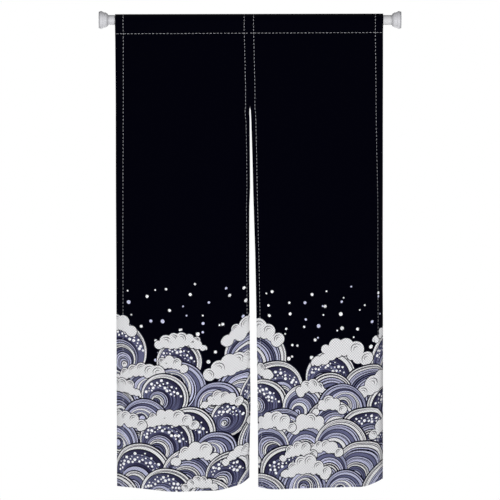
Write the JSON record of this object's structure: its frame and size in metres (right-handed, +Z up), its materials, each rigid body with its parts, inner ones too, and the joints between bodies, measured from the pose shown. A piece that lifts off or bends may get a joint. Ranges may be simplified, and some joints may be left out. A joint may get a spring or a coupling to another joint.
{
  "type": "noren curtain on a tension rod",
  "caption": "Split doorway curtain of hemmed, printed cloth panels, hanging still from a plain tension rod that presses between facing walls.",
  "frame": {"origin": "centre of the left pad's wall face, on the rod's axis", "axes": "+X along the rod to the right as the front is seen, -Y out of the front towards the viewer, +Z up"},
  "size_m": [0.957, 0.0645, 1.5206],
  "materials": {
    "cloth": "matt plain weave, black, printed in cream, lavender and indigo towards the hem",
    "tube": "white enamel, satin",
    "cap": "white moulded plastic, satin",
    "pad": "pale grey, matt"
  },
  "bodies": {
    "root": {"panel_left": "cloth", "panel_right": "cloth", "rod_inner_tube": "tube", "rod_outer_tube": "tube", "end_cap_left": "cap", "end_cap_right": "cap", "end_pad_left": "pad", "end_pad_right": "pad"}
  },
  "joints": []
}
